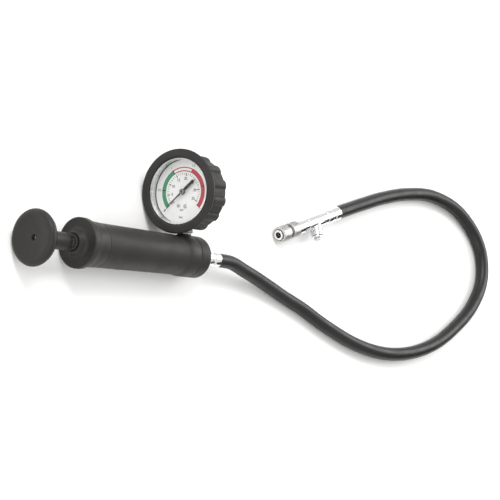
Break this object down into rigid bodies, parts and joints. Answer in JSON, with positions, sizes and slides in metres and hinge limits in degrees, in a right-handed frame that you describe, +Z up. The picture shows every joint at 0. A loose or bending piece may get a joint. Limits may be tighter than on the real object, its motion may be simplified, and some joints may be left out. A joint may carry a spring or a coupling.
{
  "type": "hand pressure pump with gauge and hose",
  "caption": "Hand pump with a push knob and piston, a dial gauge in a rubber boot, a hose, and a coupler with a release valve.",
  "frame": {"origin": "the middle of the pump and gauge on the floor they rest on, without the hose and the coupler", "axes": "+X along the pump, from the knob to the hose end; +Z up from the floor; +Y towards the gauge"},
  "size_m": [0.6462, 0.1746, 0.0735],
  "materials": {
    "black_plastic": "satin black plastic with a fine moulded grain",
    "black_rubber": "matt black rubber",
    "hose_rubber": "smooth black rubber",
    "seal_rubber": "matt black seal rubber",
    "chrome": "bright chrome plate",
    "knurled_steel": "satin plated steel, knurled",
    "steel": "plain turned steel",
    "brass": "turned brass",
    "white_enamel": "white enamelled sheet",
    "needle_black": "matt black paint",
    "glass": "clear flat window"
  },
  "bodies": {
    "pump": {"front_cap": "black_plastic", "rod_guide_bush": "black_plastic", "barrel": "black_plastic", "rear_cap": "black_plastic", "gauge_boot": "black_rubber", "hose": "hose_rubber", "rear_cap_oring": "seal_rubber", "release_seal": "seal_rubber", "tip_seal": "seal_rubber", "hose_adapter": "chrome", "pump_ferrule": "chrome", "gauge_case": "chrome", "gauge_bezel": "chrome", "coupler_ferrule": "chrome", "tee_body": "chrome", "release_retainer": "chrome", "coupler_body": "chrome", "stem_washer": "steel", "dial_screw_1": "steel", "dial_screw_2": "steel", "tee_plug": "steel", "valve_seat": "brass", "gauge_stem": "brass", "movement_plate": "brass", "bourdon_tube": "brass", "tube_tip": "brass", "gauge_dial": "white_enamel", "gauge_lens": "glass"},
    "plunger": {"knob": "black_plastic", "knob_screw": "steel", "piston_rod": "steel", "piston_washer": "steel", "piston": "black_plastic", "piston_nut": "steel", "piston_cup_seal": "seal_rubber", "piston_oring": "seal_rubber"},
    "check_valve": {"check_ball": "steel", "valve_spring": "steel"},
    "needle": {"gauge_needle": "needle_black", "needle_arbor": "brass"},
    "sector": {"sector_gear": "brass"},
    "button": {"release_button": "steel", "release_spring": "steel"},
    "sleeve": {"coupler_sleeve": "knurled_steel", "sleeve_spring": "steel"},
    "lock_ring": {"coupler_ring": "knurled_steel"}
  },
  "joints": [
    {"name": "plunger_slide", "type": "slide", "parent": "pump", "child": "plunger", "axis": [-0.9996, 0, 0.0296], "range_m": [0, 0.085]},
    {"name": "valve_lift", "type": "slide", "parent": "pump", "child": "check_valve", "axis": [0.9996, 0, -0.0296], "range_m": [0, 0.0012], "stiffness_N_per_m": 150, "springref_m": -0.002},
    {"name": "needle_turn", "type": "hinge", "parent": "pump", "child": "needle", "pos_m": [0.07184, 0.02037, 0.03414], "axis": [0.9838, 0.0428, -0.1743], "range_deg": [0, 258], "stiffness_Nm_per_rad": 0.001, "springref_deg": -11.46},
    {"name": "sector_turn", "type": "hinge", "parent": "pump", "child": "sector", "pos_m": [0.07177, 0.01173, 0.0316], "axis": [0.9838, 0.0428, -0.1743], "range_deg": [-28.7, 0]},
    {"name": "release_press", "type": "slide", "parent": "pump", "child": "button", "axis": [0.1246, 0.9842, -0.1261], "range_m": [0, 0.0012], "stiffness_N_per_m": 800, "springref_m": -0.001},
    {"name": "sleeve_slide", "type": "slide", "parent": "pump", "child": "sleeve", "axis": [0.9511, 0.309, 0], "range_m": [0, 0.0025], "stiffness_N_per_m": 1500, "springref_m": -0.002},
    {"name": "ring_turn", "type": "hinge", "parent": "pump", "child": "lock_ring", "pos_m": [0.305, 0.029, 0.00745], "axis": [-0.9511, -0.309, 0], "continuous": true}
  ],
  "couplings": [
    {"joint": "sector_turn", "follows": "needle_turn", "ratio": -0.111}
  ]
}
